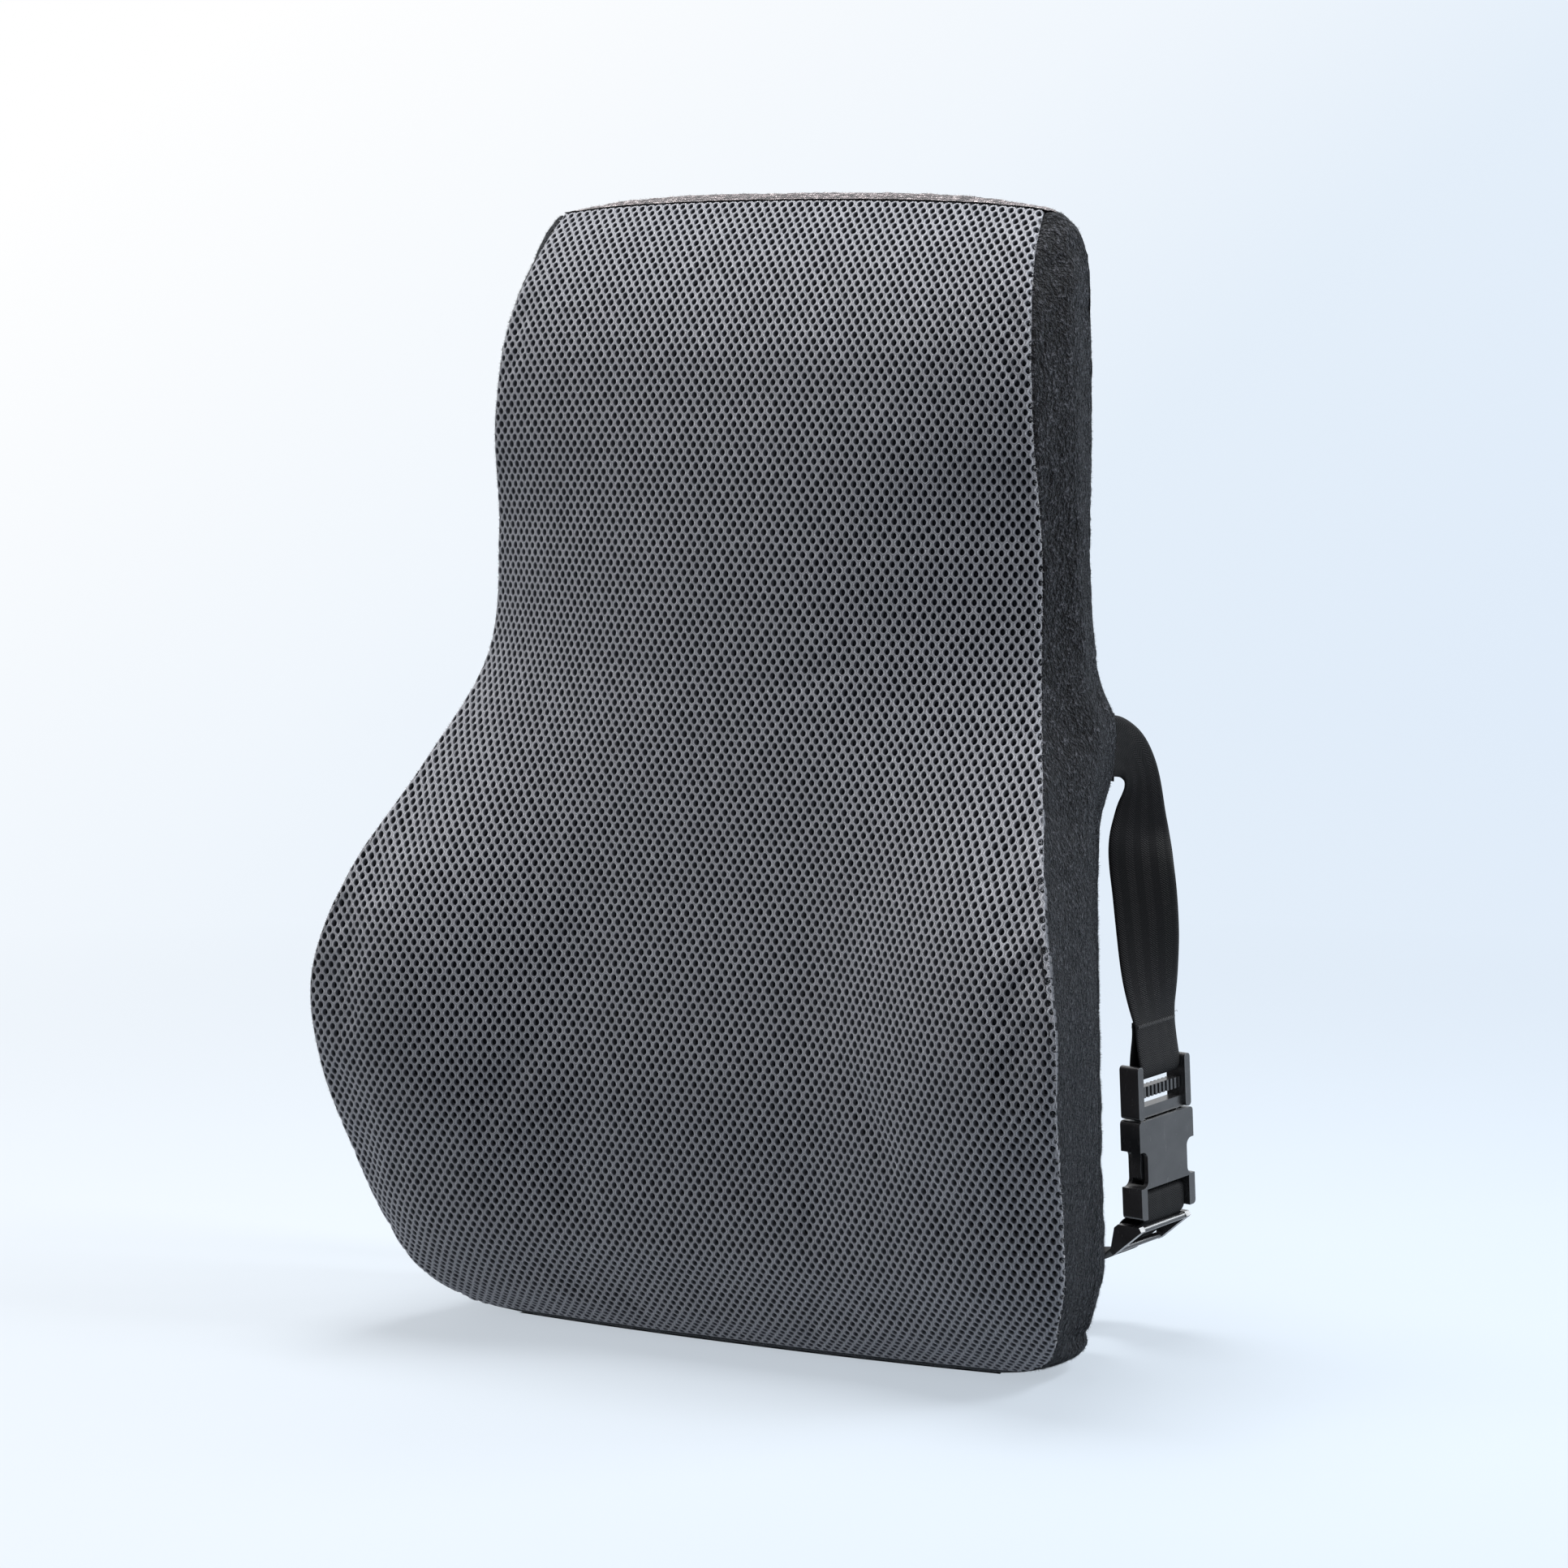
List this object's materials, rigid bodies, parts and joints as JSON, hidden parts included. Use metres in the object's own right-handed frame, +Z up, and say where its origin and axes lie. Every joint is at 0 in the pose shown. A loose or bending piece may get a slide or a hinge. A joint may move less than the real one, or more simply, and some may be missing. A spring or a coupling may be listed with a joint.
{
  "type": "back support cushion",
  "caption": "High-backed back-support cushion with a waisted foam core, side wings, mesh front, plush sides, zipped back and an elastic chair strap with a side-release buckle.",
  "frame": {"origin": "on the floor under the cushion, in its left-right mid plane, on the flat base it stands on", "axes": "+Z up, -Y out of the mesh front towards the user, +X to the cushion's right as seen from the front, where the buckle hangs"},
  "size_m": [0.3204, 0.1717, 0.4448],
  "materials": {
    "foam": "open-cell foam",
    "spacer_mesh": "knitted spacer mesh with oval holes",
    "plush": "short-pile plush",
    "coarse_knit": "coarse textured knit",
    "zip_tape": "woven tape",
    "zip_plastic": "matte",
    "zip_metal": "satin black",
    "webbing": "elastic webbing",
    "thread": "sewing thread",
    "buckle_plastic": "satin gloss"
  },
  "bodies": {
    "cushion": {"foam_core": "foam", "front_mesh": "spacer_mesh", "left_gusset": "plush", "right_gusset": "plush", "back_upper": "coarse_knit", "back_lower": "coarse_knit", "base_panel": "plush", "zip_tape_upper": "zip_tape", "zip_tape_lower": "zip_tape", "zip_teeth_upper": "zip_plastic", "zip_teeth_lower": "zip_plastic", "zip_stop_left": "zip_plastic", "zip_stop_right": "zip_plastic", "strap_upper": "webbing", "strap_lower": "webbing", "strap_return": "webbing", "strap_anchor_right": "thread", "strap_anchor_left": "thread", "buckle_socket": "buckle_plastic"},
    "buckle_plug": {"buckle_frame": "buckle_plastic", "buckle_guide": "buckle_plastic"},
    "prong_front_arm": {"prong_front": "buckle_plastic"},
    "prong_rear_arm": {"prong_rear": "buckle_plastic"},
    "adjuster": {"strap_adjuster": "buckle_plastic"},
    "zip_runner": {"zip_slider": "zip_metal"},
    "zip_tab": {"zip_pull": "zip_metal"}
  },
  "joints": [
    {"name": "plug_slide", "type": "slide", "parent": "cushion", "child": "buckle_plug", "axis": [-0.0163, -0.0678, 0.9976], "range_m": [0, 0.028], "deforming": ["strap_upper"]},
    {"name": "prong_front_flex", "type": "hinge", "parent": "buckle_plug", "child": "prong_front_arm", "pos_m": [0.13252, 0.05968, 0.08786], "axis": [0.9724, -0.2334, 0], "range_deg": [0, 9.6]},
    {"name": "prong_rear_flex", "type": "hinge", "parent": "buckle_plug", "child": "prong_rear_arm", "pos_m": [0.13751, 0.08044, 0.08935], "axis": [-0.9724, 0.2334, 0], "range_deg": [0, 9.6]},
    {"name": "adjuster_slide", "type": "slide", "parent": "cushion", "child": "adjuster", "axis": [-0.7562, 0.2257, -0.6142], "range_m": [0, 0.008], "deforming": ["strap_return"]},
    {"name": "zip_slide", "type": "slide", "parent": "cushion", "child": "zip_runner", "axis": [1, 0, 0], "range_m": [-0.162, 0]},
    {"name": "zip_tab_hinge", "type": "hinge", "parent": "zip_runner", "child": "zip_tab", "pos_m": [0.082, 0.0491, 0.072], "axis": [0, 0, -1], "range_deg": [0, 160]}
  ],
  "couplings": [
    {"joint": "prong_front_flex", "follows": "plug_slide", "rad_per_m": 5.61},
    {"joint": "prong_rear_flex", "follows": "plug_slide", "rad_per_m": 5.61}
  ]
}
